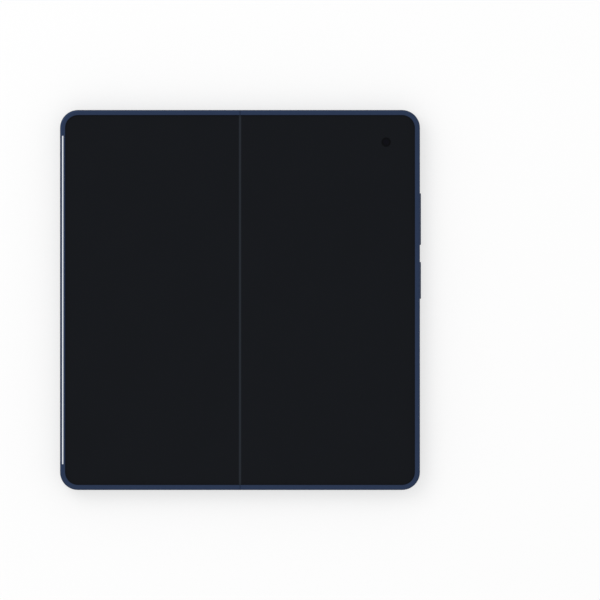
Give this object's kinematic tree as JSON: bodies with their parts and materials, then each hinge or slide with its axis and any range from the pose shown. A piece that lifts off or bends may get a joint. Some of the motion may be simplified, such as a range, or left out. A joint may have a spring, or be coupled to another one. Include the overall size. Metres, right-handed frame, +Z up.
{
  "type": "foldable smartphone",
  "caption": "Book-style foldable phone, open flat: a large inner screen over a geared hinge, slim rails, a glass back with a wide camera island, side keys, a charging port and a card tray.",
  "frame": {"origin": "middle of the open phone, on the plane that the outer face of the camera island rests on", "axes": "+X to the right across both halves, +Y along the hinge to the top edge, +Z up out of the screen"},
  "size_m": [0.1472, 0.155, 0.0082],
  "materials": {
    "navy_aluminium": "satin anodised",
    "navy_trim": "satin",
    "pale_inlay": "satin",
    "screen": "smooth, switched off",
    "black_glass": "polished",
    "slate_glass": "fine matt",
    "island": "satin",
    "lens_black": "satin black",
    "lens_glass": "polished, coated",
    "steel": "stamped",
    "spring_steel": "ground",
    "gear_steel": "sintered",
    "cell": "laminated film",
    "board": "solder mask",
    "module_black": "moulded",
    "magnet": "nickel plated",
    "connector": "moulded"
  },
  "bodies": {
    "left_half": {"left_frame": "navy_aluminium", "left_bezel": "navy_trim", "left_display_panel": "screen", "left_display_plate": "steel", "antenna_strip": "pale_inlay", "cover_glass": "black_glass", "cover_panel": "module_black", "cover_camera": "module_black", "left_battery": "cell", "left_board": "board", "left_speaker": "module_black", "tray_cage": "steel", "left_hinge_rails": "steel", "left_arm_brackets": "steel", "left_hinge_screws": "steel", "left_magnets": "magnet"},
    "spine": {"hinge_cover": "navy_aluminium", "hinge_bases": "steel", "hinge_end_caps": "navy_aluminium", "gear_shafts": "gear_steel", "spring_washers": "spring_steel", "crease_plate": "steel", "crease_screws": "steel", "display_fold_strip": "screen"},
    "right_half": {"right_frame": "navy_aluminium", "right_bezel": "navy_trim", "right_display_panel": "screen", "right_display_plate": "steel", "inner_camera": "module_black", "inner_camera_window": "lens_glass", "back_panel": "slate_glass", "camera_island": "island", "lens_rings": "lens_black", "lens_windows": "lens_glass", "rear_cameras": "module_black", "lens_elements": "lens_glass", "right_battery": "cell", "main_board": "board", "shield_cans": "steel", "port_board": "board", "usb_shell": "steel", "usb_tongue": "connector", "right_speaker": "module_black", "vibration_motor": "steel", "key_switches": "module_black", "right_hinge_rails": "steel", "right_arm_brackets": "steel", "right_hinge_screws": "steel", "right_magnets": "magnet"},
    "left_arm_gears": {"left_sync_arms": "gear_steel"},
    "left_idlers": {"left_idler_gears": "gear_steel"},
    "right_idlers": {"right_idler_gears": "gear_steel"},
    "right_arm_gears": {"right_sync_arms": "gear_steel"},
    "power": {"power_key": "navy_aluminium"},
    "volume": {"volume_key": "navy_aluminium"},
    "tray": {"sim_tray": "navy_aluminium"}
  },
  "joints": [
    {"name": "left_fold", "type": "hinge", "parent": "spine", "child": "left_half", "pos_m": [-0.0011, 0, 0.0079], "axis": [0, 1, 0], "range_deg": [0, 90], "deforming": ["display_fold_strip"]},
    {"name": "right_fold", "type": "hinge", "parent": "spine", "child": "right_half", "pos_m": [0.0011, 0, 0.0079], "axis": [0, -1, 0], "range_deg": [0, 90]},
    {"name": "left_arm_turn", "type": "hinge", "parent": "spine", "child": "left_arm_gears", "pos_m": [-0.003, 0, 0.00533], "axis": [0, 1, 0], "range_deg": [0, 90]},
    {"name": "left_idler_turn", "type": "hinge", "parent": "spine", "child": "left_idlers", "pos_m": [-0.001, 0, 0.00533], "axis": [0, -1, 0], "range_deg": [0, 90]},
    {"name": "right_idler_turn", "type": "hinge", "parent": "spine", "child": "right_idlers", "pos_m": [0.001, 0, 0.00533], "axis": [0, 1, 0], "range_deg": [0, 90]},
    {"name": "right_arm_turn", "type": "hinge", "parent": "spine", "child": "right_arm_gears", "pos_m": [0.003, 0, 0.00533], "axis": [0, -1, 0], "range_deg": [0, 90]},
    {"name": "power_press", "type": "slide", "parent": "right_half", "child": "power", "axis": [-1, 0, 0], "range_m": [0, 0.0002], "stiffness_N_per_m": 300},
    {"name": "volume_rock", "type": "hinge", "parent": "right_half", "child": "volume", "pos_m": [0.07031, 0.033, 0.00455], "axis": [0, 0, 1], "range_deg": [-1.1, 1.1], "stiffness_Nm_per_rad": 0.05},
    {"name": "tray_pull", "type": "slide", "parent": "left_half", "child": "tray", "axis": [0, -1, 0], "range_m": [0, 0.014]}
  ],
  "couplings": [
    {"joint": "right_fold", "follows": "left_fold", "ratio": 1},
    {"joint": "left_arm_turn", "follows": "left_fold", "ratio": 1},
    {"joint": "left_idler_turn", "follows": "left_fold", "ratio": 1},
    {"joint": "right_idler_turn", "follows": "left_fold", "ratio": 1},
    {"joint": "right_arm_turn", "follows": "left_fold", "ratio": 1}
  ]
}
